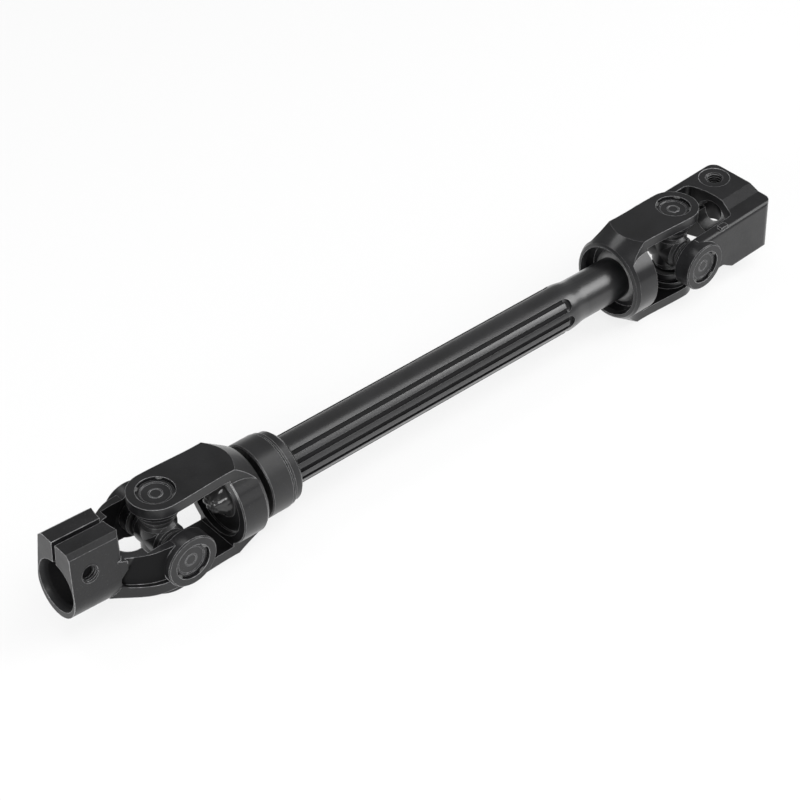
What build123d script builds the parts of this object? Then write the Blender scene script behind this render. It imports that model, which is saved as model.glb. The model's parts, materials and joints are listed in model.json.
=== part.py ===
from build123d import *
import math
import os

# Steering universal joint: a telescopic intermediate shaft with a cross joint at each end.
# Millimetres. The origin is on the axis of the lower clamp bore, level with its pinch bolt. +X
# runs along the shaft to the upper clamp and +Z is up. Both clamps lie slightly tipped.
os.makedirs("parts", exist_ok=True)

# Overall layout
joint_spacing = 276.25
lower_reach = 45.9
upper_reach = 45.5
lower_tip_angle = 2.6
upper_tip_angle = 3.5

# Bearing cups, needle rollers and crosses
cup_radius = 7.5
cup_length = 9.5
cup_floor = 1.3
cup_below_ear = 1.1
cup_dish_radius = 5.95
cup_dish_depth = 0.4
cup_ring_radius = 2.8
cup_ring_width = 0.7
cup_seal_length = 1.1
trunnion_radius = 4.25
needle_radius = 1.0
needle_count = 16
cross_shoulder_radius = 6.0
cross_hub_radius = 7.2
grease_hole_radius = 1.25
running_gap = 0.02
end_gap = 0.1
seal_gap = 0.3

# Ears and bosses, common to the four yokes
ear_face = 21.0
boss_radius = 10.9
boss_proud = 0.8
edge_break = 0.5

# Pressed shaft yokes
sheet = 4.5
ear_half_width = 11.0
strap_waist_half = 10.2
strap_flare_half = 12.6
strap_slope_start = 27.5
strap_slope_radius = 24.2
ring_radius = 18.26
ring_start = 26.3
ring_length = 12.7
ring_lip = 2.0
ring_wall = 3.6
web_depth = 3.0
web_thickness = 2.6
flange_radius = 9.1
flange_reach = 3.0

# Both clamp yokes
bore_radius = 9.15
mouth_radius = 10.85
mouth_depth = 3.0
slot_width = 2.14
slot_run = 5.0
bolt_minor_radius = 3.4
bolt_clearance_radius = 4.3
bolt_mouth_radius = 4.1
bolt_seat_radius = 6.9
bolt_seat_depth = 0.8
spot_face_depth = 0.2
bolt_height = 8.75
cheek_half_gap = 13.4
rear_radius = 30.0

# Lower clamp yoke
block_length = 21.0
block_top = 19.9
block_top_half = 9.5
block_round_radius = 11.6
block_round_drop = 1.9
block_corner = 0.9
block_rear_corner = 1.8
lower_bolt_from_mouth = 8.1
lower_scoop_setback = 1.5
lower_scoop_radius = 13.9
lower_cheek_half_gap = 14.6
lower_scoop_corner = 8.0
arm_overlap = 4.1
arm_top = 9.3
arm_bottom = 9.4
arm_foot_half = 8.6
arm_foot_top = 7.2
arm_foot_bottom = 10.2
arm_bulge = 4.2
pocket_depth = 2.0
pocket_ledge = 4.9
pocket_from_foot = 2.2
pocket_lean = 3.6
pocket_lean_top = 4.2
pocket_corner = 3.0

# Upper clamp yoke
slab_face = 18.3
slab_top = 11.0
plate_top = 13.0
block_bottom = 13.7
step_outer = 10.0
step_inner = 5.0
lug_reach = 16.8
slab_corner = 2.0
slab_waist_half = 8.6
slab_waist_place = 15.0
slab_widen_end = 23.0
end_corner = 4.5
upper_gap_end = 27.5
upper_gap_corner = 3.5
upper_bolt_from_end = 8.2
nub_length = 4.0
nub_width = 2.6
nub_height = 1.2
nub_place = 15.0

# Telescopic shaft
tube_radius = 10.3
tube_wall = 2.0
neck_radius = 9.3
neck_bore_radius = 6.4
neck_taper = 9.0
flute_depth = 0.9
flute_width = 1.9
flute_pitch = 22.4
flutes_per_side = 6
flute_end_from_joint = 68.5
slide_gap = 0.08
slider_length = 150.0
slider_chamfer = 1.0

# Collar with its wiper and bush, on the mouth of the tube
collar_start = 42.1
collar_length = 15.8
collar_radius = 15.76
collar_band_radius = 14.7
collar_bead_radius = 15.45
collar_groove_place = 9.7
collar_groove_width = 0.7
collar_groove_depth = 0.8
collar_bead_width = 1.1
collar_chamfer = 1.2
collar_lip = 1.2
collar_lip_gap = 0.9
wiper_length = 2.6
wiper_gap = 0.3
bush_length = 4.0
bush_outer_radius = 12.6

# Weld beads, which leave room inside the yoke rings
weld_least = 1.0
weld_share = 0.41

# Sizes that follow from the ones above
cup_face = ear_face - cup_below_ear
cup_mouth = cup_face - cup_length
cup_bore = trunnion_radius + 2 * needle_radius + 2 * running_gap
trunnion_tip = cup_face - cup_floor - end_gap
seal_inner_end = cup_mouth - cup_seal_length
shoulder_end = seal_inner_end - seal_gap
ear_inner = ear_face - sheet
lower_scoop_end = lower_reach - block_length - lower_scoop_setback
ring_end = ring_start + ring_length
ring_bore = ring_radius - ring_wall
weld_leg = weld_least + weld_share * (ring_bore - neck_radius)
web_start = ring_start + web_depth
web_end = web_start + web_thickness
tube_bore = tube_radius - tube_wall
slider_radius = tube_bore - slide_gap
collar_end = collar_start + collar_length
wiper_start = collar_start + collar_lip
bush_start = wiper_start + wiper_length
tube_start = bush_start + bush_length
flute_end = joint_spacing - flute_end_from_joint
flute_first = -flute_pitch * (flutes_per_side - 1) / 2
pocket_half = math.radians(flute_pitch / 2) * tube_radius + flute_width / 2
far_clear = ear_face + sheet
arm_foot = lower_reach - block_length + arm_overlap


class Station:
    """The sketch planes at a joint centre, on an axis tipped up towards +X by an angle."""

    def __init__(self, centre, tip_angle=0.0):
        tip = math.radians(tip_angle)
        self.centre = centre
        self.axis_dir = Vector(math.cos(tip), 0, math.sin(tip))
        self.up_dir = Vector(-math.sin(tip), 0, math.cos(tip))
        self.axis = Axis(centre, self.axis_dir)
        self.across = Plane(centre, x_dir=(0, 1, 0), z_dir=self.axis_dir)
        self.plan = Plane(centre, x_dir=self.axis_dir, z_dir=self.up_dir)
        self.side = Plane(centre, x_dir=self.axis_dir, z_dir=(0, -1, 0))

    def seat(self, name):
        """The plane of one trunnion, with its normal pointing out along the trunnion."""
        outward = {
            "left": Vector(0, 1, 0),
            "right": Vector(0, -1, 0),
            "top": self.up_dir,
            "bottom": self.up_dir * -1,
        }
        return Plane(self.centre, x_dir=self.axis_dir, z_dir=outward[name])


bolt_to_joint = lower_reach - lower_bolt_from_mouth
lower_tip = math.radians(lower_tip_angle)
lower_centre = Vector(math.cos(lower_tip), 0, -math.sin(lower_tip)) * bolt_to_joint
upper_centre = lower_centre + Vector(joint_spacing, 0, 0)
lower_clamp_station = Station(lower_centre, -lower_tip_angle)
lower_shaft_station = Station(lower_centre)
upper_shaft_station = Station(upper_centre)
upper_clamp_station = Station(upper_centre, upper_tip_angle)


def meridian(plane):
    """The plane through a seat's normal, for turned profiles given as (radius, height)."""
    return Plane(plane.origin, x_dir=plane.x_dir, z_dir=plane.y_dir * -1)


def bearing_cup(seat):
    """A drawn cup with a dished face and a small ring in the middle of the dish."""
    dish = cup_face - cup_dish_depth
    with BuildPart() as cup:
        with BuildSketch(meridian(seat)):
            with BuildLine():
                Polyline(
                    (0, cup_face - cup_floor),
                    (cup_bore, cup_face - cup_floor),
                    (cup_bore, cup_mouth),
                    (cup_radius, cup_mouth),
                    (cup_radius, cup_face - edge_break),
                    (cup_radius - edge_break, cup_face),
                    (cup_dish_radius, cup_face),
                    (cup_dish_radius - cup_dish_depth, dish),
                    (cup_ring_radius, dish),
                    (cup_ring_radius - cup_ring_width / 4, dish + cup_dish_depth / 2),
                    (cup_ring_radius - cup_ring_width * 3 / 4, dish + cup_dish_depth / 2),
                    (cup_ring_radius - cup_ring_width, dish),
                    (0, dish),
                    close=True,
                )
            make_face()
        revolve(axis=Axis(seat.origin, seat.z_dir))
    return cup.part


def cup_seal(seat):
    """A moulded ring with a lip, pressed on the mouth of a cup."""
    inner = trunnion_radius + seal_gap
    outer = cup_radius - end_gap
    round_off = cup_seal_length / 2
    with BuildPart() as ring:
        with BuildSketch(meridian(seat)):
            with BuildLine():
                Polyline(
                    (inner, seal_inner_end + round_off),
                    (inner + round_off, seal_inner_end),
                    (outer - round_off, seal_inner_end),
                    (outer, seal_inner_end + round_off),
                    (outer, cup_mouth),
                    (inner, cup_mouth),
                    close=True,
                )
            make_face()
        revolve(axis=Axis(seat.origin, seat.z_dir))
    return ring.part


def needle_rollers(seat):
    """The full set of loose rollers round one trunnion."""
    with BuildPart() as rollers:
        with BuildSketch(seat.offset(cup_mouth + end_gap)):
            with PolarLocations(trunnion_radius + running_gap + needle_radius, needle_count):
                Circle(needle_radius)
        extrude(amount=cup_length - cup_floor - 2 * end_gap)
    return rollers.part


def cross(station):
    """A forged cross: hub, four shoulders and four ground trunnions drilled for grease."""
    cone_start = cross_shoulder_radius
    cone_end = cone_start + cross_hub_radius - cross_shoulder_radius
    with BuildPart() as spider:
        for name in ("left", "right", "top", "bottom"):
            seat = station.seat(name)
            with BuildSketch(meridian(seat)):
                with BuildLine():
                    Polyline(
                        (0, 0),
                        (cross_hub_radius, 0),
                        (cross_hub_radius, cone_start),
                        (cross_shoulder_radius, cone_end),
                        (cross_shoulder_radius, shoulder_end - edge_break),
                        (cross_shoulder_radius - edge_break, shoulder_end),
                        (trunnion_radius, shoulder_end),
                        (trunnion_radius, trunnion_tip - edge_break),
                        (trunnion_radius - edge_break, trunnion_tip),
                        (grease_hole_radius, trunnion_tip),
                        (grease_hole_radius, shoulder_end),
                        (0, shoulder_end),
                        close=True,
                    )
                make_face()
            revolve(axis=Axis(seat.origin, seat.z_dir))
    return spider.part


def pressed_strap(station, facing, side):
    """One strap of a shaft yoke with its ear, on the upper (+1) or lower (-1) side.

    Near the ring the strap is drawn down to a cone, and its root closes on the round ring.
    """
    end = facing * (ring_end - ring_lip)
    with BuildPart() as strap:
        with BuildSketch(station.plan):
            with BuildLine():
                ThreePointArc(
                    (0, ear_half_width), (-facing * ear_half_width, 0), (0, -ear_half_width)
                )
                edge = Spline(
                    (0, -ear_half_width),
                    (facing * (ring_start - web_depth), -strap_waist_half),
                    (end, -strap_flare_half),
                    tangents=[(facing, 0), (facing, -0.7)],
                )
                mirror(edge, about=Plane.XZ)
                Line((end, -strap_flare_half), (end, strap_flare_half))
            make_face()
        extrude(amount=side * ear_face)
        with BuildSketch(station.side):
            with BuildLine():
                Polyline(
                    (-facing * far_clear, 0),
                    (-facing * far_clear, side * ear_inner),
                    (facing * ring_start, side * ear_inner),
                    (facing * ring_start, 0),
                    close=True,
                )
            make_face()
        extrude(amount=far_clear, both=True, mode=Mode.SUBTRACT)
        with BuildSketch(station.across):
            Circle(ring_radius - ring_wall / 2)
        extrude(amount=end, mode=Mode.SUBTRACT)
        with BuildSketch(station.side):
            with BuildLine():
                Polyline(
                    (-facing * far_clear, 0),
                    (-facing * far_clear, far_clear),
                    (facing * strap_slope_start, far_clear),
                    (facing * strap_slope_start, strap_slope_radius),
                    (end, ring_radius),
                    (end, 0),
                    close=True,
                )
            make_face()
        revolve(axis=station.axis, mode=Mode.INTERSECT)
    return strap.part


def shaft_yoke(station, facing, bore):
    """A pressed yoke: ring with a web, two straps and their pierced and flanged ears.

    Facing is +1 where the ring lies on the +X side of the joint, and -1 on the other side.
    """
    straps = [pressed_strap(station, facing, side) for side in (1, -1)]
    profile = (
        (ring_start, ring_bore),
        (ring_start, ring_radius - edge_break),
        (ring_start + edge_break, ring_radius),
        (ring_end - ring_lip, ring_radius),
        (ring_end - ring_lip / 4, ring_radius - ring_lip / 2),
        (ring_end, ring_radius - ring_lip),
        (ring_end, ring_bore + ring_lip / 2),
        (ring_end - ring_lip, ring_bore),
        (web_end, ring_bore),
        (web_end, bore),
        (web_start, bore),
        (web_start, ring_bore - edge_break),
        (web_start - edge_break, ring_bore),
    )
    with BuildPart() as yoke:
        with BuildSketch(station.side):
            with BuildLine():
                Polyline(*[(facing * along, radius) for along, radius in profile], close=True)
            make_face()
        revolve(axis=station.axis)
        for strap in straps:
            add(strap)
        for name in ("top", "bottom"):
            with BuildSketch(station.seat(name).offset(ear_inner - flange_reach)):
                Circle(flange_radius)
            extrude(amount=flange_reach)
        with BuildSketch(station.plan):
            Circle(cup_radius)
        extrude(amount=far_clear, both=True, mode=Mode.SUBTRACT)
    return yoke.part


def lower_scoop():
    """The turned hollow in front of the lower clamp's bore, with a rounded floor."""
    station = lower_clamp_station
    floor_start = lower_scoop_end - lower_scoop_corner
    with BuildPart() as scoop:
        with BuildSketch(station.side):
            with BuildLine():
                Polyline(
                    (-floor_start, lower_scoop_radius),
                    (2 * boss_radius, lower_scoop_radius),
                    (2 * boss_radius, 0),
                    (-lower_scoop_end, 0),
                    (-lower_scoop_end, lower_scoop_radius - lower_scoop_corner),
                )
                RadiusArc(
                    (-lower_scoop_end, lower_scoop_radius - lower_scoop_corner),
                    (-floor_start, lower_scoop_radius),
                    lower_scoop_corner,
                )
            make_face()
        revolve(axis=station.axis)
        with BuildSketch(station.plan):
            Rectangle(2 * floor_start, 2 * lower_cheek_half_gap)
        extrude(amount=far_clear, both=True)
    return scoop.part


def upper_gap():
    """The milled gap between the upper yoke's flat cheeks, with a curved rear wall."""
    with BuildPart() as gap:
        with BuildSketch(upper_clamp_station.plan) as outline:
            with Locations((upper_gap_end - rear_radius, 0)):
                Circle(rear_radius)
            Rectangle(2 * rear_radius, 2 * cheek_half_gap, mode=Mode.INTERSECT)
            fillet(outline.vertices().sort_by(Axis.X)[-2:], upper_gap_corner)
        extrude(amount=far_clear, both=True)
    return gap.part


def cup_bosses(station):
    """The two round bosses that hold the cups of a forged yoke, joined through the middle."""
    with BuildPart() as bosses:
        with BuildSketch(station.side):
            Circle(boss_radius)
        extrude(amount=ear_face, both=True)
        chamfer(bosses.edges().filter_by(GeomType.CIRCLE), edge_break)
    return bosses.part


def arm_curve(shift):
    """Points of the lower arm's outer side in plan, moved towards the middle by a shift."""
    ear_side = ear_face - boss_proud
    middle = (arm_foot_half + ear_side) / 2 + arm_bulge
    points = ((-arm_foot, arm_foot_half), (-arm_foot / 2, middle), (0, ear_side))
    return [(along, -(out - shift)) for along, out in points]


def lower_fork():
    """The two swept arms of the lower clamp yoke, still solid between them."""
    outline = arm_curve(0)
    with BuildPart() as fork:
        with BuildSketch(lower_clamp_station.plan):
            with BuildLine():
                Polyline(outline[0], (-arm_foot, 0), (0, 0), outline[-1])
                Spline(*outline, tangents=[(1, -0.7), (1, 0)])
            make_face()
            mirror(about=Plane.XZ)
        extrude(amount=boss_radius, both=True)
        with BuildSketch(lower_clamp_station.side):
            with BuildLine():
                Polyline(
                    (0, -arm_bottom),
                    (0, arm_top),
                    (-boss_radius, arm_top),
                    (-arm_foot, arm_foot_top),
                    (-arm_foot, -arm_foot_bottom),
                    (-boss_radius, -arm_bottom),
                    close=True,
                )
            make_face()
        extrude(amount=far_clear, both=True, mode=Mode.INTERSECT)
    return fork.part


def arm_pockets():
    """The forged hollows in the outer sides of the lower arms, open at the top."""
    outline = arm_curve(pocket_depth)
    front = pocket_from_foot - arm_foot
    with BuildPart() as pockets:
        with BuildSketch(lower_clamp_station.plan):
            with BuildLine():
                Polyline(outline[-1], (0, -far_clear), (-arm_foot, -far_clear), outline[0])
                Spline(*outline, tangents=[(1, -0.7), (1, 0)])
            make_face()
            mirror(about=Plane.XZ)
        extrude(amount=far_clear, both=True)
        with BuildSketch(lower_clamp_station.side):
            with BuildLine():
                Polyline(
                    (0, -pocket_ledge),
                    (0, far_clear),
                    (front + pocket_lean, far_clear),
                    (front + pocket_lean, pocket_lean_top),
                    (front, -pocket_ledge),
                    close=True,
                )
            face = make_face()
            fillet(face.vertices().sort_by(Axis.X)[:2].sort_by(Axis.Y)[:1], pocket_corner)
        extrude(amount=far_clear, both=True, mode=Mode.INTERSECT)
    return pockets.part


def clamp_cuts(station, facing, reach, bore_end, quarter, bolt_from_mouth):
    """The space of the bore, mouth cone, slot and pinch-bolt hole of a clamp yoke.

    The slot opens at the yoke's top or side, and the bolt crosses it, threaded at one end.
    """
    mouth = station.across.offset(facing * reach)
    slot_dir = mouth.x_dir if quarter == "side" else mouth.y_dir
    bolt_dir = mouth.y_dir if quarter == "side" else mouth.x_dir * -1
    inward = station.axis_dir * -facing
    slot_plane = Plane(mouth.origin, x_dir=slot_dir, z_dir=inward)
    slope = math.degrees(math.atan2(mouth_radius - bore_radius, mouth_depth))
    thread_entry, head_entry = bolt_entries(quarter)
    centre = mouth.origin + inward * bolt_from_mouth + slot_dir * bolt_height
    into_thread = Plane(
        centre + bolt_dir * thread_entry, x_dir=station.axis_dir, z_dir=bolt_dir * -1
    )
    into_head = Plane(
        centre - bolt_dir * (head_entry + bolt_seat_radius), x_dir=station.axis_dir, z_dir=bolt_dir
    )
    with BuildPart() as cuts:
        with BuildSketch(slot_plane):
            Circle(bore_radius)
            with Locations((far_clear / 2, 0)):
                Rectangle(far_clear, slot_width)
        extrude(amount=reach - bore_end + slot_run)
        with BuildSketch(slot_plane):
            Circle(mouth_radius)
        extrude(amount=mouth_depth, taper=slope)
        with BuildSketch(into_thread):
            Circle(bolt_minor_radius)
        extrude(amount=thread_entry)
        with BuildSketch(into_thread):
            Circle(bolt_mouth_radius)
        extrude(amount=bolt_mouth_radius - bolt_minor_radius, taper=45)
        with BuildSketch(into_head):
            Circle(bolt_clearance_radius)
        extrude(amount=head_entry + bolt_seat_radius)
        with BuildSketch(into_head):
            Circle(bolt_seat_radius)
        extrude(amount=bolt_seat_radius + bolt_seat_depth)
        if quarter == "side":
            with BuildSketch(into_thread):
                Circle(bolt_seat_radius)
            extrude(amount=spot_face_depth)
    return cuts.part


def bolt_entries(quarter):
    """Distances from the slot's middle to the faces at the thread and at the bolt head.

    The lower block's flanks lean, so there the cuts start a little outside them.
    """
    if quarter == "side":
        return plate_top, block_bottom
    run = (bolt_height + block_round_drop) / (block_top + block_round_drop)
    flank = block_round_radius + (block_top_half - block_round_radius) * run
    return flank + edge_break, flank + edge_break


def is_rear_corner(edge, station):
    """Whether an edge of the lower block is one of the two leaning ones at its rear."""
    leans = abs(edge.tangent_at(0.5).dot(station.up_dir))
    place = (edge.center() - station.centre).dot(station.axis_dir)
    return leans > abs(edge.tangent_at(0.5).Y) and place > -lower_reach + block_length / 2


def lower_clamp_yoke():
    """The forged lower yoke: slotted clamp block on top, swept arms, bosses and pockets."""
    station = lower_clamp_station
    mouth = station.across.offset(-lower_reach)
    fork = lower_fork()
    bosses = cup_bosses(station)
    pockets = arm_pockets()
    scoop = lower_scoop()
    cuts = clamp_cuts(station, -1, lower_reach, lower_scoop_end, "top", lower_bolt_from_mouth)
    rear = lower_reach - block_length
    with BuildPart() as yoke:
        with BuildSketch(mouth):
            with Locations((0, -block_round_drop)):
                Circle(block_round_radius)
            with Locations((0, block_top / 2)):
                Rectangle(2 * block_top_half, block_top)
            make_hull()
        extrude(amount=block_length + 2 * block_rear_corner)
        with BuildSketch(station.plan):
            with Locations((rear_radius - rear, 0)):
                Circle(rear_radius)
        extrude(amount=far_clear, both=True, mode=Mode.SUBTRACT)
        up = Axis(station.centre, station.up_dir)
        rear_edges = yoke.edges().filter_by(lambda edge: is_rear_corner(edge, station))
        chamfer(rear_edges, block_rear_corner)
        top_edges = yoke.edges().filter_by(station.axis).sort_by(up)[-2:]
        fillet(top_edges, block_corner)
        add(fork)
        add(pockets, mode=Mode.SUBTRACT)
        add(bosses)
        add(scoop, mode=Mode.SUBTRACT)
        add(cuts, mode=Mode.SUBTRACT)
        with BuildSketch(station.side):
            Circle(cup_radius)
        extrude(amount=far_clear, both=True, mode=Mode.SUBTRACT)
    return yoke.part


def upper_clamp_yoke():
    """The forged upper yoke: slab-sided clamp slotted on one side, with a stepped top."""
    station = upper_clamp_station
    bosses = cup_bosses(station)
    gap = upper_gap()
    cuts = clamp_cuts(station, 1, upper_reach, upper_gap_end, "side", upper_bolt_from_end)
    with BuildPart() as yoke:
        with BuildSketch(station.across):
            with BuildLine():
                Polyline(
                    (-slab_face, -block_bottom),
                    (-slab_face, slab_top),
                    (-step_outer, slab_top),
                    (-step_inner, plate_top),
                    (lug_reach, plate_top),
                    (lug_reach, -block_bottom),
                    close=True,
                )
            outline = make_face()
            fillet(outline.vertices().sort_by(Axis.X)[:2], slab_corner)
        extrude(amount=upper_reach)
        with BuildSketch(station.side):
            with BuildLine():
                Polyline(
                    (0, plate_top),
                    (upper_reach, plate_top),
                    (upper_reach, -block_bottom),
                    (slab_widen_end, -block_bottom),
                    (slab_waist_place, -slab_waist_half),
                    (0, -slab_waist_half),
                    close=True,
                )
            make_face()
        extrude(amount=far_clear, both=True, mode=Mode.INTERSECT)
        with BuildSketch(station.plan):
            with BuildLine():
                Polyline(
                    (0, -slab_face),
                    (upper_reach, -slab_face),
                    (upper_reach, lug_reach),
                    (0, lug_reach),
                    close=True,
                )
            outline = make_face()
            fillet(outline.vertices().sort_by(Axis.X)[-2:], end_corner)
        extrude(amount=far_clear, both=True, mode=Mode.INTERSECT)
        add(bosses)
        add(gap, mode=Mode.SUBTRACT)
        add(cuts, mode=Mode.SUBTRACT)
        with BuildSketch(station.side):
            Circle(cup_radius)
        extrude(amount=far_clear, both=True, mode=Mode.SUBTRACT)
        nub_foot = station.plan.offset(slab_top - edge_break)
        with BuildSketch(nub_foot):
            with Locations((nub_place, -slab_face + nub_width / 2 + edge_break)):
                Rectangle(nub_length, nub_width)
        extrude(amount=nub_height + edge_break)
    return yoke.part


def fluted_outline(outer, inner, width):
    """Adds to a sketch a disc with the two groups of flutes cut into its rim."""
    depth = outer - inner
    Circle(outer)
    for start in (flute_first, flute_first + 180):
        with PolarLocations(
            outer, flutes_per_side, start, flute_pitch * (flutes_per_side - 1), endpoint=True
        ):
            Rectangle(2 * depth, width, mode=Mode.SUBTRACT)


def fluted_tube():
    """The outer tube: swaged flutes that end in rounded pockets, then a plain neck."""
    station = lower_shaft_station
    neck_start = flute_end + edge_break
    neck_end = joint_spacing - web_start
    inner_rib = tube_bore - flute_depth
    with BuildPart() as tube:
        with BuildSketch(station.across.offset(tube_start)):
            fluted_outline(tube_radius, tube_radius - flute_depth, flute_width)
        extrude(amount=flute_end - pocket_half - tube_start)
        with BuildSketch(station.side):
            with BuildLine():
                Polyline(
                    (neck_start, tube_radius),
                    (flute_end - pocket_half, tube_radius),
                    (flute_end - pocket_half, 0),
                    (neck_end, 0),
                    (neck_end, neck_radius),
                    (neck_start + neck_taper, neck_radius),
                )
                Spline(
                    (neck_start, tube_radius),
                    (neck_start + neck_taper, neck_radius),
                    tangents=[(1, 0), (1, 0)],
                )
            make_face()
        revolve(axis=station.axis)
        for angle in pocket_angles():
            floor = pocket_floor(station, angle)
            with BuildSketch(floor):
                Circle(pocket_half)
                with Locations((-pocket_half, 0)):
                    Rectangle(2 * pocket_half, 2 * pocket_half, mode=Mode.SUBTRACT)
            extrude(amount=2 * flute_depth, mode=Mode.SUBTRACT)
        with BuildSketch(station.across.offset(tube_start)):
            fluted_outline(tube_bore, inner_rib, flute_width)
        extrude(amount=flute_end - tube_start, mode=Mode.SUBTRACT)
        with BuildSketch(station.across.offset(tube_start)):
            Circle(neck_bore_radius)
        extrude(amount=neck_end - tube_start, mode=Mode.SUBTRACT)
    return tube.part


def pocket_angles():
    """Middle angles of the pockets, each of which ends a pair of flutes."""
    pairs = flutes_per_side // 2
    group = [flute_first + flute_pitch * (2 * i + 0.5) for i in range(pairs)]
    return group + [180 + angle for angle in group]


def pocket_floor(station, angle):
    """The floor plane of a pocket, at the flute's depth, with x along the shaft."""
    turn = math.radians(angle)
    outward = Vector(0, math.cos(turn), math.sin(turn))
    middle = station.centre + station.axis_dir * (flute_end - pocket_half)
    floor = tube_radius - flute_depth
    return Plane(middle + outward * floor, x_dir=station.axis_dir, z_dir=outward)


def slider_shaft():
    """The inner shaft: plain root in the lower yoke, then grooves that fit the tube's ribs."""
    station = lower_shaft_station
    with BuildPart() as slider:
        with BuildSketch(station.across.offset(web_start)):
            Circle(slider_radius)
        extrude(amount=collar_start - web_start)
        with BuildSketch(station.across.offset(collar_start)):
            fluted_outline(
                slider_radius, tube_bore - flute_depth - slide_gap, flute_width + 2 * slide_gap
            )
        extrude(amount=web_start + slider_length - collar_start)
        tip = slider.faces().sort_by(Axis.X)[-1]
        chamfer(tip.edges().filter_by(GeomType.CIRCLE), slider_chamfer / 2)
    return slider.part


def turned_ring(station, profile):
    """A ring turned about a station's axis, from (distance along, radius) points."""
    with BuildPart() as ring:
        with BuildSketch(station.side):
            with BuildLine():
                Polyline(*profile, close=True)
            make_face()
        revolve(axis=station.axis)
    return ring.part


def collar():
    """The turned collar on the tube's mouth, with a groove, a bead and a narrower band."""
    groove = collar_start + collar_groove_place
    bead = groove + collar_groove_width
    band = bead + collar_bead_width
    floor = collar_radius - collar_groove_depth
    return turned_ring(
        lower_shaft_station,
        [
            (collar_start, slider_radius + collar_lip_gap),
            (collar_start, collar_radius - edge_break),
            (collar_start + edge_break, collar_radius),
            (groove, collar_radius),
            (groove, floor),
            (bead, floor),
            (bead, collar_bead_radius),
            (band, collar_bead_radius),
            (band, collar_band_radius),
            (collar_end - collar_chamfer, collar_band_radius),
            (collar_end, collar_band_radius - collar_chamfer),
            (collar_end, tube_radius),
            (tube_start, tube_radius),
            (tube_start, bush_outer_radius),
            (wiper_start, bush_outer_radius),
            (wiper_start, slider_radius + collar_lip_gap),
        ],
    )


def wiper_seal():
    """The rubber wiper that keeps dirt off the sliding fit."""
    lip = slider_radius + wiper_gap
    return turned_ring(
        lower_shaft_station,
        [
            (wiper_start, bush_outer_radius),
            (wiper_start, lip),
            (wiper_start + wiper_length / 2, lip + wiper_gap),
            (bush_start, lip + wiper_gap),
            (bush_start, bush_outer_radius),
        ],
    )


def sliding_bush():
    """The plastic bush that steadies the slider in the collar."""
    return turned_ring(
        lower_shaft_station,
        [
            (bush_start, slider_radius + slide_gap),
            (bush_start, bush_outer_radius),
            (tube_start, bush_outer_radius),
            (tube_start, slider_radius + slide_gap),
        ],
    )


def weld_bead(station, facing, root_radius):
    """A fillet weld between a shaft and the web of its yoke."""
    toe = web_end + weld_leg
    belly = weld_leg * 0.6
    return turned_ring(
        station,
        [
            (facing * web_end, root_radius),
            (facing * toe, root_radius),
            (facing * (web_end + belly), root_radius + belly),
            (facing * web_end, root_radius + weld_leg),
        ],
    )


def finish(part, name):
    """Labels a finished piece and writes it."""
    part.label = name
    export_step(part, f"parts/{name}.step")


finish(lower_clamp_yoke(), "lower_clamp_yoke")
finish(upper_clamp_yoke(), "upper_clamp_yoke")
finish(shaft_yoke(lower_shaft_station, 1, slider_radius), "lower_shaft_yoke")
finish(shaft_yoke(upper_shaft_station, -1, neck_radius), "upper_shaft_yoke")
finish(cross(lower_shaft_station), "lower_cross")
finish(cross(upper_shaft_station), "upper_cross")
finish(slider_shaft(), "slider_shaft")
finish(fluted_tube(), "fluted_tube")
finish(collar(), "collar")
finish(wiper_seal(), "wiper_seal")
finish(sliding_bush(), "sliding_bush")
finish(weld_bead(lower_shaft_station, 1, slider_radius), "lower_weld_bead")
finish(weld_bead(upper_shaft_station, -1, neck_radius), "upper_weld_bead")

for end_name, end_station in (("lower", lower_shaft_station), ("upper", upper_shaft_station)):
    for seat_name in ("left", "right", "top", "bottom"):
        place = end_station.seat(seat_name)
        finish(bearing_cup(place), f"{end_name}_cup_{seat_name}")
        finish(cup_seal(place), f"{end_name}_seal_{seat_name}")
        finish(needle_rollers(place), f"{end_name}_needles_{seat_name}")
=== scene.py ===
import json
import math
import random
import bmesh
import bpy
from mathutils import Matrix, Vector


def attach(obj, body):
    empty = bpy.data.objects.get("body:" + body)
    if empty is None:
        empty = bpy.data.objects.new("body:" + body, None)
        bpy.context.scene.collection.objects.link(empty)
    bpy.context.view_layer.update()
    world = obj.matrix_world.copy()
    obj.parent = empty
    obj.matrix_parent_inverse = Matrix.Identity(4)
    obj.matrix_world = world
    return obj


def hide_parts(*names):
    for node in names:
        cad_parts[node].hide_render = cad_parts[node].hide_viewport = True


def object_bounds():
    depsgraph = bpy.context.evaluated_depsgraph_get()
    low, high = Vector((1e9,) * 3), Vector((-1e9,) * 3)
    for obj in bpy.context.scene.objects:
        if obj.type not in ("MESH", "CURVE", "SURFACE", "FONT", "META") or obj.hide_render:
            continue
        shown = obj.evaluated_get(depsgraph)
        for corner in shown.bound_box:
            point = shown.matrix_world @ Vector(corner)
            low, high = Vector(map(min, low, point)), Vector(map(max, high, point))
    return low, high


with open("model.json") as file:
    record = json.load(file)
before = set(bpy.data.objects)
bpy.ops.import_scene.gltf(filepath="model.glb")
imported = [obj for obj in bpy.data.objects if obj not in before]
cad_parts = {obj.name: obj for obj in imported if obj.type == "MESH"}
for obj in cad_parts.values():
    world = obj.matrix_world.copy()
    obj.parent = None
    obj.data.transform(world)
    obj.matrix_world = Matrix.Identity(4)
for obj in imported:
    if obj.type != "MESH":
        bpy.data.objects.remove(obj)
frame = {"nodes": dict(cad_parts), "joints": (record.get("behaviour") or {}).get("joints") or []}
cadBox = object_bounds()
nodes = frame["nodes"]
jointPlace = {j["name"]: Vector(j.get("pos_m", (0, 0, 0))) for j in frame["joints"]}
lowerCentre = jointPlace["lower_cross_pitch"]
upperCentre = jointPlace["upper_cross_pitch"]
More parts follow.
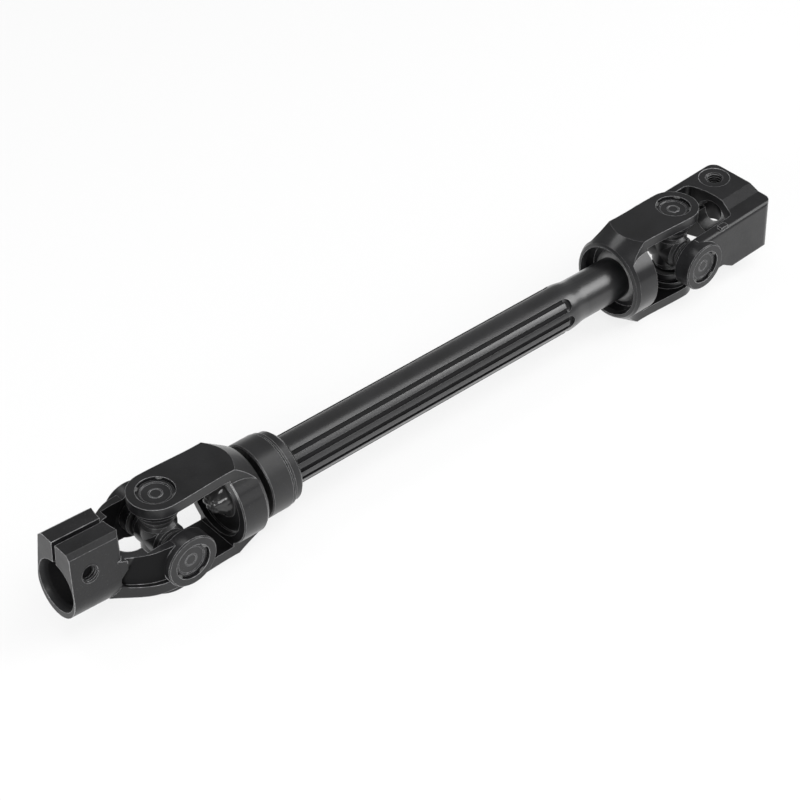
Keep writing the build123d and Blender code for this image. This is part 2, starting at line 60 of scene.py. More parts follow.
mm = 0.001
bodyTips = {"lower_clamp": 2.6, "lower_shaft": 0.0, "tube": 0.0, "upper_clamp": -3.5}  # degrees about Y
print("frame loaded:", len(nodes), "nodes")

cameraSettings = {
    "fromLowerCentre": (-0.33145, -0.50406, 0.55483),
    "turnDegrees": (50.56, -0.203, -41.645),
    "lens": 98.84,
    "sensor": 36.0,
    "nearest": 0.01,
}
studioSettings = {
    "floorColour": (0.93, 0.93, 0.93),
    "floorHalfWidth": 2.5,
    "floorGap": 0.2 * mm,
    "floorRoughness": 0.8,
    "floorSeen": 0.8,
    "floorMirrored": 0.7,
    "floorMirrorGain": 0.05,
    "worldColour": (1.0, 1.0, 1.0),
    "worldStrength": 0.28,
    "plainWhite": (1.0, 1.0, 1.0),
}
lampSettings = {  # each lamp looks at a spot on the X axis, aimAlong metres from the origin
    "leftBank": {"place": (-0.75, -0.35, 0.35), "aimAlong": 0.05, "size": (0.5, 0.5), "power": 7.2},
    "frontBank": {"place": (0.25, -0.95, 0.25), "aimAlong": 0.2, "size": (0.9, 0.4), "power": 1.2},
    "rightStrip": {"place": (0.57, -0.73, 0.66), "aimAlong": 0.2, "size": (0.8, 0.3), "power": 0.8},
    "topBank": {"place": (0.34, -0.3, 1.0), "aimAlong": 0.17, "size": (1.1, 0.34), "power": 3.4},
    "farBank": {"place": (0.93, -0.42, 0.6), "aimAlong": 0.3, "size": (0.5, 0.6), "power": 5.0},
    "backBank": {"place": (0.06, 0.52, 0.86), "aimAlong": 0.25, "size": (0.4, 0.3), "power": 1.4},
}


def mathNode(tree, operation, first, second=None, clamp=False):
    node = tree.nodes.new("ShaderNodeMath")
    node.operation = operation
    node.use_clamp = clamp
    for index, value in enumerate((first, second)):
        if value is None:
            continue
        if isinstance(value, (int, float)):
            node.inputs[index].default_value = value
        else:
            tree.links.new(value, node.inputs[index])
    return node.outputs[0]


def mixShaders(tree, share, first, second):
    mix = tree.nodes.new("ShaderNodeMixShader")
    tree.links.new(share, mix.inputs["Fac"])
    tree.links.new(first.outputs[0], mix.inputs[1])
    tree.links.new(second.outputs[0], mix.inputs[2])
    return mix


def addCamera():
    data = bpy.data.cameras.new("photoCamera")
    camera = bpy.data.objects.new("photoCamera", data)
    bpy.context.scene.collection.objects.link(camera)
    camera.location = lowerCentre + Vector(cameraSettings["fromLowerCentre"])
    camera.rotation_euler = [math.radians(a) for a in cameraSettings["turnDegrees"]]
    data.sensor_width = cameraSettings["sensor"]
    data.lens = cameraSettings["lens"]
    data.clip_start = cameraSettings["nearest"]
    bpy.context.scene.camera = camera


def addLamps():
    for name, lamp in lampSettings.items():
        data = bpy.data.lights.new(name, "AREA")
        data.shape = "RECTANGLE"
        data.size, data.size_y = lamp["size"]
        data.energy = lamp["power"]
        light = bpy.data.objects.new(name, data)
        bpy.context.scene.collection.objects.link(light)
        light.location = lamp["place"]
        towards = Vector((lamp["aimAlong"], 0, 0)) - Vector(lamp["place"])
        light.rotation_euler = towards.to_track_quat("-Z", "Y").to_euler()


def addWorld():
    # A dim, even light on the object; the camera sees plain white behind it.
    world = bpy.data.worlds.new("paleRoom")
    bpy.context.scene.world = world
    world.use_nodes = True
    tree = world.node_tree
    back = tree.nodes["Background"]
    back.inputs["Color"].default_value = (*studioSettings["worldColour"], 1)
    back.inputs["Strength"].default_value = studioSettings["worldStrength"]
    seen = tree.nodes.new("ShaderNodeBackground")
    seen.inputs["Color"].default_value = (*studioSettings["plainWhite"], 1)
    seen.inputs["Strength"].default_value = 1.0
    path = tree.nodes.new("ShaderNodeLightPath")
    mix = mixShaders(tree, path.outputs["Is Camera Ray"], back, seen)
    tree.links.new(mix.outputs[0], tree.nodes["World Output"].inputs["Surface"])


def addFloor():
    # The floor glows a little in reflections and lets the camera see a part that swings below it.
    base = bmesh.new()
    bmesh.ops.create_grid(base, x_segments=1, y_segments=1, size=studioSettings["floorHalfWidth"])
    bmesh.ops.translate(base, verts=base.verts, vec=(0, 0, cadBox[0][2] - studioSettings["floorGap"]))
    mesh = bpy.data.meshes.new("floor")
    base.to_mesh(mesh)
    base.free()
    floor = bpy.data.objects.new("floor", mesh)
    bpy.context.scene.collection.objects.link(floor)
    material = bpy.data.materials.new("paleFloor")
    material.use_nodes = True
    tree = material.node_tree
    shader = tree.nodes["Principled BSDF"]
    shader.inputs["Base Color"].default_value = (*studioSettings["floorColour"], 1)
    shader.inputs["Roughness"].default_value = studioSettings["floorRoughness"]
    path = tree.nodes.new("ShaderNodeLightPath")
    glow = tree.nodes.new("ShaderNodeEmission")
    glow.inputs["Color"].default_value = (*studioSettings["plainWhite"], 1)
    gain = mathNode(tree, "MULTIPLY", path.outputs["Is Glossy Ray"], studioSettings["floorMirrorGain"])
    tree.links.new(mathNode(tree, "ADD", gain, 1.0), glow.inputs["Strength"])
    clear = tree.nodes.new("ShaderNodeBsdfTransparent")
    mirrored = mathNode(tree, "MULTIPLY", path.outputs["Is Glossy Ray"], studioSettings["floorMirrored"])
    seen = mathNode(tree, "MULTIPLY", path.outputs["Is Camera Ray"], studioSettings["floorSeen"])
    mix = mixShaders(tree, seen, mixShaders(tree, mirrored, shader, glow), clear)
    tree.links.new(mix.outputs[0], tree.nodes["Material Output"].inputs["Surface"])
    mesh.materials.append(material)


addCamera()
addLamps()
addWorld()
addFloor()
print("studio ready")


def newGroup(name, inputs, outputs):
    group = bpy.data.node_groups.new(name, "ShaderNodeTree")
    for label, value in inputs:
        socket = group.interface.new_socket(name=label, in_out="INPUT", socket_type="NodeSocketFloat")
        socket.default_value = value
    for label, kind in outputs:
        group.interface.new_socket(name=label, in_out="OUTPUT", socket_type=kind)
    return group, group.nodes.new("NodeGroupInput"), group.nodes.new("NodeGroupOutput")


def noiseNode(tree, place, scale, detail, rough):
    noise = tree.nodes.new("ShaderNodeTexNoise")
    noise.inputs["Detail"].default_value = detail
    noise.inputs["Roughness"].default_value = rough
    if isinstance(scale, (int, float)):
        noise.inputs["Scale"].default_value = scale
    else:
        tree.links.new(scale, noise.inputs["Scale"])
    tree.links.new(place, noise.inputs["Vector"])
    return noise.outputs["Fac"]


def spread(tree, value, low, high, newLow=0.0, newHigh=1.0):
    node = tree.nodes.new("ShaderNodeMapRange")
    node.inputs["From Min"].default_value = low
    node.inputs["From Max"].default_value = high
    node.inputs["To Min"].default_value = newLow
    node.inputs["To Max"].default_value = newHigh
    tree.links.new(value, node.inputs["Value"])
    return node.outputs["Result"]


def restOf(tree, value):
    return mathNode(tree, "SUBTRACT", 1.0, value)


# A noise is given as its scale, detail and roughness; the pair beside it is where it starts and is full.
edgeWearAndHighlightSettings = {"bevelSamples": 6, "bend": (0.02, 0.16), "patchNoise": (420.0, 4.0, 0.6), "patch": (0.35, 0.62)}
coatGrainSettings = {
    "peelDetail": 2.0, "peelRough": 0.5,
    "waveNoise": (120.0, 3.0, 0.5),
    "cloudNoise": (60.0, 4.0, 0.6), "cloud": (0.35, 0.65),
    "speckNoise": (2600.0, 2.0, 0.5), "speck": (0.66, 0.74),
}


def makeEdgeWearAndHighlight():
    # Puts out a mask for edge wear and painted highlight: 1 on outer edges, broken up by noise, 0 on open faces.
    group, given, result = newGroup(
        "edgeWearAndHighlight",
        [("Width", 0.5 * mm), ("Amount", 1.0), ("Patchiness", 0.5)],
        [("Mask", "NodeSocketFloat"), ("Soft Normal", "NodeSocketVector")],
    )
    settings = edgeWearAndHighlightSettings
    soft = group.nodes.new("ShaderNodeBevel")
    soft.samples = settings["bevelSamples"]
    group.links.new(given.outputs["Width"], soft.inputs["Radius"])
    shape = group.nodes.new("ShaderNodeNewGeometry")
    dot = group.nodes.new("ShaderNodeVectorMath")
    dot.operation = "DOT_PRODUCT"
    group.links.new(soft.outputs["Normal"], dot.inputs[0])
    group.links.new(shape.outputs["Normal"], dot.inputs[1])
    ridge = spread(group, restOf(group, dot.outputs["Value"]), *settings["bend"])
    place = group.nodes.new("ShaderNodeTexCoord").outputs["Object"]
    patch = spread(group, noiseNode(group, place, *settings["patchNoise"]), *settings["patch"])
    kept = mathNode(group, "MULTIPLY", restOf(group, patch), given.outputs["Patchiness"])
    broken = mathNode(group, "MULTIPLY", ridge, restOf(group, kept))
    mask = mathNode(group, "MULTIPLY", broken, given.outputs["Amount"], clamp=True)
    group.links.new(mask, result.inputs["Mask"])
    group.links.new(soft.outputs["Normal"], result.inputs["Soft Normal"])
    return group


def makeCoatGrain():
    # The slight unevenness of a dipped or sprayed black coat: broad waves, orange peel and specks.
    group, given, result = newGroup(
        "coatGrain",
        [("Peel Size", 900.0), ("Peel", 0.5), ("Waves", 0.5)],
        [("Height", "NodeSocketFloat"), ("Cloud", "NodeSocketFloat"), ("Speck", "NodeSocketFloat")],
    )
    settings = coatGrainSettings
    place = group.nodes.new("ShaderNodeTexCoord").outputs["Object"]
    peel = noiseNode(group, place, given.outputs["Peel Size"], settings["peelDetail"], settings["peelRough"])
    peel = mathNode(group, "MULTIPLY", peel, given.outputs["Peel"])
    wave = noiseNode(group, place, *settings["waveNoise"])
    wave = mathNode(group, "MULTIPLY", wave, given.outputs["Waves"])
    cloud = spread(group, noiseNode(group, place, *settings["cloudNoise"]), *settings["cloud"])
    speck = spread(group, noiseNode(group, place, *settings["speckNoise"]), *settings["speck"])
    group.links.new(mathNode(group, "ADD", peel, wave), result.inputs["Height"])
    group.links.new(cloud, result.inputs["Cloud"])
    group.links.new(speck, result.inputs["Speck"])
    return group


edgeWearAndHighlight = makeEdgeWearAndHighlight()
coatGrain = makeCoatGrain()


def mixColour(tree, share, first, second):
    mix = tree.nodes.new("ShaderNodeMix")
    mix.data_type = "RGBA"
    for socket, value in (("A", first), ("B", second)):
        target = [s for s in mix.inputs if s.name == socket and s.type == "RGBA"][0]
        if isinstance(value, tuple):
            target.default_value = (*value, 1)
        else:
            tree.links.new(value, target)
    tree.links.new(share, mix.inputs["Factor"])
    return [s for s in mix.outputs if s.type == "RGBA"][0]


maskStep = 0.2 * mm  # a mask starts and stops over twice this length


def split(tree, place):
    parts = tree.nodes.new("ShaderNodeSeparateXYZ")
    tree.links.new(place, parts.inputs[0])
    return parts.outputs[0], parts.outputs[1], parts.outputs[2]


def between(tree, value, low, high):
    start = spread(tree, value, low - maskStep, low + maskStep)
    stop = spread(tree, value, high + maskStep, high - maskStep)
    return mathNode(tree, "MULTIPLY", start, stop)


def insideBox(tree, place, box):
    # 1 inside a box and 0 outside it; a folded axis is measured alike on both sides.
    mask = 1.0
    for part, (low, high, folded) in zip(split(tree, place), box):
        value = mathNode(tree, "ABSOLUTE", part) if folded else part
        mask = mathNode(tree, "MULTIPLY", between(tree, value, low, high), mask)
    return mask


def onBodyAxis(tree, look):
    # Places measured from the body's joint, along and across its own tipped axis.
    place = tree.nodes.new("ShaderNodeTexCoord")
    turned = tree.nodes.new("ShaderNodeMapping")
    turned.vector_type = "TEXTURE"
    turned.inputs["Location"].default_value = look["axisAt"]
    turned.inputs["Rotation"].default_value = (0, math.radians(look["axisTip"]), 0)
    tree.links.new(place.outputs["Object"], turned.inputs["Vector"])
    return turned.outputs["Vector"]


def hollowShadeMask(tree, look):
    # Where the forged hollows of the lower arms lie; painted shade goes there: a dark colour and no coat gloss.
    along, across, upward = split(tree, onBodyAxis(tree, look))
    shift = mathNode(tree, "MULTIPLY", upward, look["hollowLean"])
    leaned = tree.nodes.new("ShaderNodeCombineXYZ")
    tree.links.new(mathNode(tree, "SUBTRACT", along, shift), leaned.inputs[0])
    tree.links.new(across, leaned.inputs[1])
    tree.links.new(upward, leaned.inputs[2])
    inBox = insideBox(tree, leaned.outputs[0], look["hollowBox"])
    shape = tree.nodes.new("ShaderNodeNewGeometry")
    facingUp = mathNode(tree, "ABSOLUTE", split(tree, shape.outputs["True Normal"])[2])
    return mathNode(tree, "MULTIPLY", inBox, spread(tree, facingUp, *look["hollowFacing"]))


def depthShadeMask(tree, look):
    # 1 where a spot lies nearer to the body's axis than the coated outside: bores and flute floors, which get painted
    # shade.
    along, across, upward = split(tree, onBodyAxis(tree, look))
    squares = [mathNode(tree, "POWER", part, 2.0) for part in (across, upward)]
    radius = mathNode(tree, "SQRT", mathNode(tree, "ADD", *squares))
    low, high = look["deepRadius"]
    deep = spread(tree, radius, high, low)
    return mathNode(tree, "MULTIPLY", deep, between(tree, along, *look["deepAlong"]))


def shadedAndDulled(tree, look, mask, wearAndPaintedLight, gloss, roughness):
    # Painted shade where the mask is 1: the colour goes to the dark tone, the coat gloss goes and the roughness
    # rises.
    wearAndPaintedLight = mixColour(tree, mask, wearAndPaintedLight, look["dark"])
    gloss = mathNode(tree, "MULTIPLY", gloss, restOf(tree, mask))
    roughness = mathNode(tree, "MAXIMUM", roughness, mathNode(tree, "MULTIPLY", mask, look["dullRoughness"]))
    return wearAndPaintedLight, gloss, roughness


def addGrain(tree, look):
    grain = tree.nodes.new("ShaderNodeGroup")
    grain.node_tree = coatGrain
    grain.inputs["Peel Size"].default_value = look["peelSize"]
    grain.inputs["Peel"].default_value = look["peel"]
    grain.inputs["Waves"].default_value = look["waves"]
    return grain


def addBump(tree, look, grain):
    bump = tree.nodes.new("ShaderNodeBump")
    bump.inputs["Strength"].default_value = look["bump"]
    bump.inputs["Distance"].default_value = look["bumpDepth"]
    tree.links.new(grain.outputs["Height"], bump.inputs["Height"])
    tree.links.new(bump.outputs["Normal"], tree.nodes["Principled BSDF"].inputs["Normal"])
    return bump


def coatedSteel(name, look):
    material = bpy.data.materials.new(name)
    material.use_nodes = True
    tree = material.node_tree
    shader = tree.nodes["Principled BSDF"]
    wearAndHighlight = tree.nodes.new("ShaderNodeGroup")
    wearAndHighlight.node_tree = edgeWearAndHighlight
    wearAndHighlight.inputs["Width"].default_value = look["edgeWidth"]
    wearAndHighlight.inputs["Amount"].default_value = look["edgeAmount"]
    wearAndHighlight.inputs["Patchiness"].default_value = look["patchiness"]
    grain = addGrain(tree, look)
    cloud = grain.outputs["Cloud"]
    clouded = mixColour(tree, cloud, look["dark"], look["light"])
    specks = mathNode(tree, "MULTIPLY", grain.outputs["Speck"], look["specks"])
    dusted = mixColour(tree, specks, clouded, look["speckColour"])
    # Edges are lightened towards edgeColour: partly wear, partly a painted highlight.
    edge = wearAndHighlight.outputs["Mask"]
    if "plainBox" in look:
        plain = insideBox(tree, onBodyAxis(tree, look), look["plainBox"])
        edge = mathNode(tree, "MULTIPLY", edge, restOf(tree, plain))
    wearAndPaintedLight = mixColour(tree, edge, dusted, look["edgeColour"])
    roughness = spread(tree, cloud, 0.0, 1.0, look["smooth"], look["rough"])
    gloss = spread(tree, cloud, 0.0, 1.0, look["coat"], look["coat"] * look["coatFade"])
    # Hollows, bores and flute floors get painted shade: a darker colour and less gloss.
    if "hollowBox" in look:
        wearAndPaintedLight, gloss, roughness = shadedAndDulled(tree, look, hollowShadeMask(tree, look), wearAndPaintedLight, gloss, roughness)
    if "deepRadius" in look:
        wearAndPaintedLight, gloss, roughness = shadedAndDulled(tree, look, depthShadeMask(tree, look), wearAndPaintedLight, gloss, roughness)
    tree.links.new(wearAndPaintedLight, shader.inputs["Base Color"])
    tree.links.new(roughness, shader.inputs["Roughness"])
    if look["coat"] > 0:
        tree.links.new(gloss, shader.inputs["Coat Weight"])
    shader.inputs["Coat Roughness"].default_value = look["coatRoughness"]
    shader.inputs["Coat IOR"].default_value = look["coatIOR"]
    shader.inputs["Metallic"].default_value = look["metallic"]
    shader.inputs["Specular IOR Level"].default_value = look["specular"]
    bump = addBump(tree, look, grain)
    tree.links.new(wearAndHighlight.outputs["Soft Normal"], bump.inputs["Normal"])
    return material


coatLook = {"coatIOR": 1.5, "metallic": 0.0, "bumpDepth": 0.3 * mm}  # what the coats have in common
# In each look, edgeColour is the light put on edges, partly wear and partly painted highlight; hollowBox and
# deepRadius mark where painted shade goes.
forgedLook = {
    **coatLook,
    "dark": (0.007, 0.007, 0.0075), "light": (0.015, 0.015, 0.016),
    "edgeColour": (0.55, 0.55, 0.56), "speckColour": (0.1, 0.1, 0.1),
    "edgeWidth": 0.5 * mm, "edgeAmount": 0.9, "patchiness": 0.65,
    "peelSize": 1100.0, "peel": 0.5, "waves": 0.6, "specks": 0.4,
    "smooth": 0.35, "rough": 0.55, "coat": 0.58, "coatFade": 0.75, "coatRoughness": 0.24,
    "specular": 0.12, "bump": 0.5,
}
lowerForgedLook = {  # a box is given along, across and up the clamp's axis, each as from, to and folded
    **forgedLook, "axisAt": lowerCentre, "axisTip": bodyTips["lower_clamp"],
    "plainBox": ((-26.2 * mm, -21.2 * mm, False), (8.0 * mm, 20.0 * mm, True), (-4.8 * mm, 6.6 * mm, False)),
    "hollowBox": ((-23.8 * mm, -9.5 * mm, False), (7.5 * mm, 18.8 * mm, True), (-4.6 * mm, 20.0 * mm, False)),
    "hollowLean": 0.396, "hollowFacing": (0.7, 0.5),
    "deepRadius": (9.6 * mm, 10.9 * mm), "deepAlong": (-47.0 * mm, -24.0 * mm), "dullRoughness": 0.8,
}
pressedLook = {
    **coatLook,
    "dark": (0.006, 0.006, 0.0065), "light": (0.013, 0.013, 0.014),
    "edgeColour": (0.55, 0.55, 0.56), "speckColour": (0.08, 0.08, 0.08),
    "edgeWidth": 0.45 * mm, "edgeAmount": 0.8, "patchiness": 0.5,
    "peelSize": 1400.0, "peel": 0.4, "waves": 0.5, "specks": 0.3,
    "smooth": 0.3, "rough": 0.5, "coat": 0.72, "coatFade": 0.8, "coatRoughness": 0.2,
    "specular": 0.12, "bump": 0.4,
}
tubeLook = {
    **coatLook,
    "dark": (0.008, 0.008, 0.0085), "light": (0.015, 0.015, 0.016),
    "edgeColour": (0.4, 0.4, 0.41), "speckColour": (0.08, 0.08, 0.08),
    "edgeWidth": 0.2 * mm, "edgeAmount": 0.45, "patchiness": 0.3,
    "peelSize": 1600.0, "peel": 0.3, "waves": 0.3, "specks": 0.25,
    "smooth": 0.3, "rough": 0.45, "coat": 1.0, "coatFade": 0.85, "coatRoughness": 0.26, "coatIOR": 1.56,
    "specular": 0.2, "bump": 0.25,
    "axisAt": upperCentre, "axisTip": bodyTips["tube"],
    "deepRadius": (9.5 * mm, 10.05 * mm), "deepAlong": (-400.0 * mm, -68.5 * mm), "dullRoughness": 0.7,
}
collarLook = {
    **coatLook,
    "dark": (0.009, 0.009, 0.0095), "light": (0.016, 0.016, 0.017),
    "edgeColour": (0.5, 0.5, 0.51), "speckColour": (0.1, 0.1, 0.1),
    "edgeWidth": 0.4 * mm, "edgeAmount": 0.75, "patchiness": 0.25,
    "peelSize": 1600.0, "peel": 0.3, "waves": 0.2, "specks": 0.3,
    "smooth": 0.35, "rough": 0.5, "coat": 0.62, "coatFade": 0.85, "coatRoughness": 0.34,
    "specular": 0.2, "bump": 0.2,
}
cupLook = {
    **coatLook,
    "dark": (0.012, 0.012, 0.013), "light": (0.024, 0.024, 0.025),
    "edgeColour": (0.55, 0.55, 0.56), "speckColour": (0.12, 0.12, 0.12),
    "edgeWidth": 0.4 * mm, "edgeAmount": 0.8, "patchiness": 0.4,
    "peelSize": 1800.0, "peel": 0.3, "waves": 0.3, "specks": 0.4,
    "smooth": 0.25, "rough": 0.4, "coat": 0.42, "coatFade": 0.7, "coatRoughness": 0.24,
    "metallic": 0.2, "specular": 0.2, "bump": 0.3,
}
crossLook = {**cupLook, "dark": (0.014, 0.014, 0.015), "light": (0.034, 0.034, 0.035)}
needleLook = {
    **cupLook, "dark": (0.42, 0.42, 0.43), "light": (0.5, 0.5, 0.51),
    "metallic": 1.0, "smooth": 0.14, "rough": 0.2, "bump": 0.05, "coat": 0.0,
}
sliderLook = {**cupLook, "dark": (0.09, 0.09, 0.092), "light": (0.15, 0.15, 0.152), "metallic": 0.8, "coat": 0.2}
stakeLook = {
    **forgedLook, "dark": (0.04, 0.04, 0.04), "light": (0.1, 0.1, 0.1),
    "edgeAmount": 0.0, "coatRoughness": 0.18, "bump": 0.6,
}
weldLook = {**stakeLook, "dark": (0.07, 0.07, 0.07), "light": (0.16, 0.16, 0.16), "coat": 1.0}
peenedLook = {**stakeLook, "dark": (0.012, 0.012, 0.012), "light": (0.045, 0.045, 0.046), "coat": 1.0}

forgedBlack = coatedSteel("forgedBlack", forgedLook)
lowerForgedBlack = coatedSteel("lowerForgedBlack", lowerForgedLook)
pressedBlack = coatedSteel("pressedBlack", pressedLook)
tubeBlack = coatedSteel("tubeBlack", tubeLook)
collarBlack = coatedSteel("collarBlack", collarLook)
cupSteel = coatedSteel("cupSteel", cupLook)
stakeBlack = coatedSteel("stakeBlack", stakeLook)
weldBlack = coatedSteel("weldBlack", weldLook)
peenedBlack = coatedSteel("peenedBlack", peenedLook)
crossSteel = coatedSteel("crossSteel", crossLook)
needleSteel = coatedSteel("needleSteel", needleLook)
sliderSteel = coatedSteel("sliderSteel", sliderLook)

softLook = {"peel": 0.6, "waves": 0.2, "bump": 0.3, "bumpDepth": 0.2 * mm}
sealLook = {
    **softLook, "dark": (0.012, 0.012, 0.012), "light": (0.025, 0.025, 0.025),
    "peelSize": 1500.0, "smooth": 0.55, "rough": 0.72,
}
bushLook = {
    **softLook, "dark": (0.6, 0.56, 0.44), "light": (0.72, 0.68, 0.56),
    "peelSize": 900.0, "smooth": 0.42, "rough": 0.55,
}


def softStuff(name, look):
    material = bpy.data.materials.new(name)
    material.use_nodes = True
    tree = material.node_tree
    shader = tree.nodes["Principled BSDF"]
    grain = addGrain(tree, look)
    cloud = grain.outputs["Cloud"]
    tree.links.new(mixColour(tree, cloud, look["dark"], look["light"]), shader.inputs["Base Color"])
    tree.links.new(spread(tree, cloud, 0.0, 1.0, look["smooth"], look["rough"]), shader.inputs["Roughness"])
    addBump(tree, look, grain)
    return material


sealRubber = softStuff("sealRubber", sealLook)
bushNylon = softStuff("bushNylon", bushLook)
print("materials ready")

dressing = {
    "lower_clamp_yoke": lowerForgedBlack, "upper_clamp_yoke": forgedBlack,
    "lower_shaft_yoke": pressedBlack, "upper_shaft_yoke": pressedBlack,
    "fluted_tube": tubeBlack, "collar": collarBlack, "slider_shaft": sliderSteel,
    "lower_cross": crossSteel, "upper_cross": crossSteel,
    "wiper_seal": sealRubber, "sliding_bush": bushNylon,
    "lower_weld_bead": weldBlack, "upper_weld_bead": weldBlack,
}


def dressFrame():
    for name in nodes:
        material = dressing.get(name, cupSteel)
        if "_needles_" in name:
            material = needleSteel
        elif "_seal_" in name:
            material = sealRubber
        mesh = nodes[name].data
        mesh.materials.clear()
        mesh.materials.append(material)


dressFrame()
print("frame dressed")


def tipTurn(body):
    return Matrix.Rotation(math.radians(bodyTips[body]), 4, "Y")


def finishPiece(name, base, material, body, place):
    bmesh.ops.transform(base, matrix=place, verts=base.verts)
    bmesh.ops.recalc_face_normals(base, faces=base.faces)
    mesh = bpy.data.meshes.new(name)
    base.to_mesh(mesh)
    base.free()
    for face in mesh.polygons:
        face.use_smooth = True
    piece = bpy.data.objects.new(name, mesh)
    bpy.context.scene.collection.objects.link(piece)
    mesh.materials.append(material)
    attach(piece, body)
    return piece


cupSeats = {
    "lower_clamp": (lowerCentre, ("left", "right")),
    "lower_shaft": (lowerCentre, ("top", "bottom")),
    "tube": (upperCentre, ("top", "bottom")),
    "upper_clamp": (upperCentre, ("left", "right")),
}
sideTurns = {"top": 0, "bottom": 180, "right": 90, "left": -90}  # degrees about X, from +Z to a cup's side
stakeSettings = {
    "perCup": 4, "turn": 38.0, "turnJitter": 9,
    "radius": 7.55 * mm, "height": 20.5 * mm,
    "reach": 1.05 * mm, "reachShares": (0.8, 1.1),
    "length": 1.7 * mm, "lengthShares": (0.75, 1.15),
    "thickness": 0.44 * mm, "roughness": 0.16 * mm,
    "subdivisions": 3, "seed": 7,
}


def addStakes(body):
    # The marks pressed round each cup recess, which lock the cup.
    settings = stakeSettings
    centre, sides = cupSeats[body]
    spot = Matrix.Translation((settings["radius"], 0, settings["height"]))
    whole = bmesh.new()
    chance = random.Random(len(body) * settings["seed"])
    for side in sides:
        seat = Matrix.Translation(centre) @ tipTurn(body) @ Matrix.Rotation(math.radians(sideTurns[side]), 4, "X")
        for index in range(settings["perCup"]):
            jitter = chance.uniform(-settings["turnJitter"], settings["turnJitter"])
            angle = math.radians(settings["turn"] + 360 * index / settings["perCup"] + jitter)
            made = bmesh.ops.create_icosphere(whole, subdivisions=settings["subdivisions"], radius=1.0)["verts"]
            reach = settings["reach"] * chance.uniform(*settings["reachShares"])
            length = settings["length"] * chance.uniform(*settings["lengthShares"])
            size = Matrix.Diagonal((reach, length, settings["thickness"], 1.0))
            bmesh.ops.transform(whole, matrix=size, verts=made)
            for vert in made:
                vert.co.x += settings["roughness"] * chance.uniform(-0.5, 0.5)
                vert.co.y += settings["roughness"] * chance.uniform(-0.5, 0.5)
            bmesh.ops.transform(whole, matrix=seat @ Matrix.Rotation(angle, 4, "Z") @ spot, verts=made)
    finishPiece(body + "Stakes", whole, stakeBlack, body, Matrix.Identity(4))


for body in cupSeats:
    addStakes(body)
print("stake marks added")

mergeWithin = 1e-6
weldSettings = {
    "webFace": 31.9 * mm, "leg": 3.2 * mm, "fullness": 0.95, "overlap": 0.4 * mm, "arcPoints": 9, "steps": 180,
    "ripples": 34, "rippleDepth": 0.16 * mm, "rippleSlant": 5.0, "stillWithin": 0.1 * mm,
    "wander": 0.35 * mm, "wanderSwing": 0.5, "wanderSink": 0.3, "crownEase": 0.5,
    "drifts": ((3, 1.0, 0.5), (7, 0.4, 0.3)),  # waves round the bead, where they start and their share
}
weldBeads = {
    "lowerWeld": {
        "node": "lower_weld_bead", "centre": lowerCentre, "facing": 1, "rootRadius": 8.22 * mm, "body": "lower_shaft",
    },
    "upperWeld": {
        "node": "upper_weld_bead", "centre": upperCentre, "facing": -1, "rootRadius": 9.3 * mm, "body": "tube",
    },
}


def spinRound(base, line, edges, steps):
    bmesh.ops.spin(
        base, geom=line + edges, cent=(0, 0, 0), axis=(1, 0, 0), angle=math.tau, steps=steps, use_merge=True,
    )
    bmesh.ops.remove_doubles(base, verts=base.verts, dist=mergeWithin)


def addWeld(name, node, centre, facing, rootRadius, body):
    # A fillet spun round the neck, then rippled and left a little uneven.
    settings = weldSettings
    base = bmesh.new()
    leg, overlap = settings["leg"], settings["overlap"]
    arc = leg * settings["fullness"]
    rim = []
    for index in range(settings["arcPoints"]):
        turn = math.pi / 2 * index / (settings["arcPoints"] - 1)
        rim.append(base.verts.new((arc * math.sin(turn), 0, rootRadius + arc * math.cos(turn))))
    heel = base.verts.new((-overlap, 0, rootRadius + leg))
    root = base.verts.new((-overlap, 0, rootRadius - overlap))
    toe = base.verts.new((leg, 0, rootRadius - overlap))
    ring = [root, heel] + rim + [toe]
    edges = [base.edges.new((ring[i], ring[(i + 1) % len(ring)])) for i in range(len(ring))]
    spinRound(base, ring, edges, settings["steps"])
    for vert in base.verts:
        out = math.hypot(vert.co.y, vert.co.z) - rootRadius
        if out < settings["stillWithin"] or vert.co.x < 0:
            continue
        angle = math.atan2(vert.co.y, vert.co.z)
        wave = 0.5 + 0.5 * math.cos(angle * settings["ripples"] + settings["rippleSlant"] * out / leg)
        drift = sum(math.sin(angle * count + start) * part for count, start, part in settings["drifts"])
        wander = settings["wander"] * (drift * settings["wanderSwing"] - settings["wanderSink"])
        grow = wander - settings["rippleDepth"] * wave
        radial = Vector((0, vert.co.y, vert.co.z)).normalized()
        share = min(1.0, max(0.0, out / leg))
        vert.co += radial * grow * share
        vert.co.x += grow * (1 - share * settings["crownEase"])
    place = Matrix.Translation(centre + Vector((facing * settings["webFace"], 0, 0)))
    if facing < 0:
        place = place @ Matrix.Rotation(math.pi, 4, "Z")
    piece = finishPiece(name, base, weldBlack, body, place)
    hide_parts(node)


for name, bead in weldBeads.items():
    addWeld(name, **bead)
print("weld beads added")

peenSettings = {
    "webFace": 29.5 * mm, "steps": 26, "ragged": 1.3 * mm, "seed": 31,
    "profile": (  # along and radius, in mm
        (0.3, 7.0), (-1.152, 6.79), (-2.56, 5.6), (-4.608, 4.59), (-6.08, 3.4), (-6.4, 1.7), (-6.4, 0.0),
    ),
    "pushShares": (-0.6, 0.5), "slideShares": (-0.4, 0.4), "softness": 0.6,
    "stillFrom": -0.1 * mm, "stillWithin": 0.5 * mm,
}


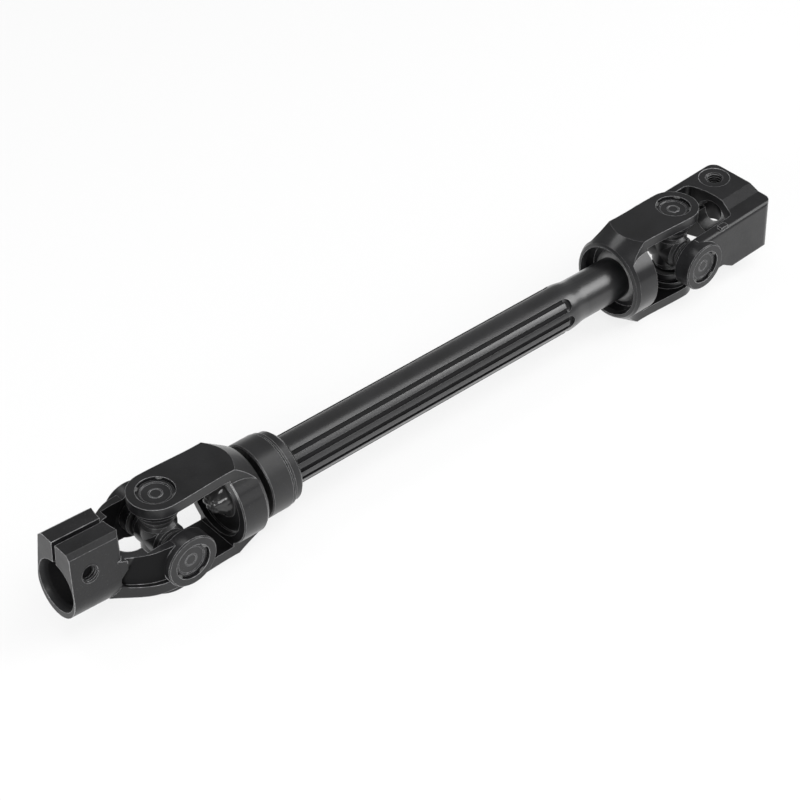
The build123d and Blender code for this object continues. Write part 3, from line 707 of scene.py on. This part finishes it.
def addPeenedEnd():
    # The hammered end of the slider shaft, inside the lower yoke.
    settings = peenSettings
    base = bmesh.new()
    line = [base.verts.new((along * mm, 0, radius * mm)) for along, radius in settings["profile"]]
    edges = [base.edges.new(pair) for pair in zip(line, line[1:])]
    spinRound(base, line, edges, settings["steps"])
    bmesh.ops.contextual_create(base, geom=[edge for edge in base.edges if edge.is_boundary])
    chance = random.Random(settings["seed"])
    for vert in base.verts:
        radius = math.hypot(vert.co.y, vert.co.z)
        if vert.co.x > settings["stillFrom"] or radius < settings["stillWithin"]:
            continue
        push = settings["ragged"] * chance.uniform(*settings["pushShares"])
        slide = settings["ragged"] * chance.uniform(*settings["slideShares"])
        vert.co += Vector((slide, vert.co.y / radius * push, vert.co.z / radius * push))
    bmesh.ops.subdivide_edges(base, edges=base.edges, cuts=1, smooth=settings["softness"], use_grid_fill=True)
    place = Matrix.Translation(lowerCentre + Vector((settings["webFace"], 0, 0)))
    finishPiece("peenedEnd", base, peenedBlack, "lower_shaft", place)


addPeenedEnd()
print("peened end added")

threadSettings = {
    "pitch": 1.25 * mm, "root": 3.5 * mm, "crest": 3.06 * mm, "flank": 0.42, "stepsPerTurn": 32, "offset": 8.75 * mm,
}
pinchHoles = {  # along the clamp's axis from its joint, and where the thread starts, both in mm
    "lowerThread": {
        "body": "lower_clamp", "centre": lowerCentre, "along": -37.8, "side": -1, "start": 10.4, "turns": 2.6,
    },
    "upperThread": {
        "body": "upper_clamp", "centre": upperCentre, "along": 37.3, "side": 0, "start": 12.1, "turns": 4.0,
    },
}


def addThread(name, hole):
    # A ridge wound down the wall of a pinch-bolt hole; side 0 is a hole in the top face.
    settings = threadSettings
    base = bmesh.new()
    flank = settings["pitch"] * settings["flank"]
    low = base.verts.new((settings["root"], 0, -flank))
    high = base.verts.new((settings["root"], 0, flank))
    crest = base.verts.new((settings["crest"], 0, 0))
    edges = [base.edges.new(pair) for pair in ((low, crest), (crest, high), (high, low))]
    first = base.faces.new((low, crest, high))
    turns = hole["turns"]
    steps = int(settings["stepsPerTurn"] * turns)
    bmesh.ops.spin(
        base, geom=[low, high, crest] + edges + [first], cent=(0, 0, 0), axis=(0, 0, 1),
        dvec=(0, 0, -settings["pitch"] * turns / steps), angle=math.tau * turns, steps=steps, use_merge=False,
    )
    along, start, offset = hole["along"] * mm, hole["start"] * mm, settings["offset"]
    if hole["side"]:
        stand = Matrix.Translation((along, hole["side"] * start, offset))
        stand = stand @ Matrix.Rotation(math.radians(90), 4, "X")
    else:
        stand = Matrix.Translation((along, offset, start))
    place = Matrix.Translation(hole["centre"]) @ tipTurn(hole["body"]) @ stand
    finishPiece(name, base, forgedBlack, hole["body"], place)


for name, hole in pinchHoles.items():
    addThread(name, hole)
print("threads added")

bpy.context.scene.view_settings.view_transform = "Standard"
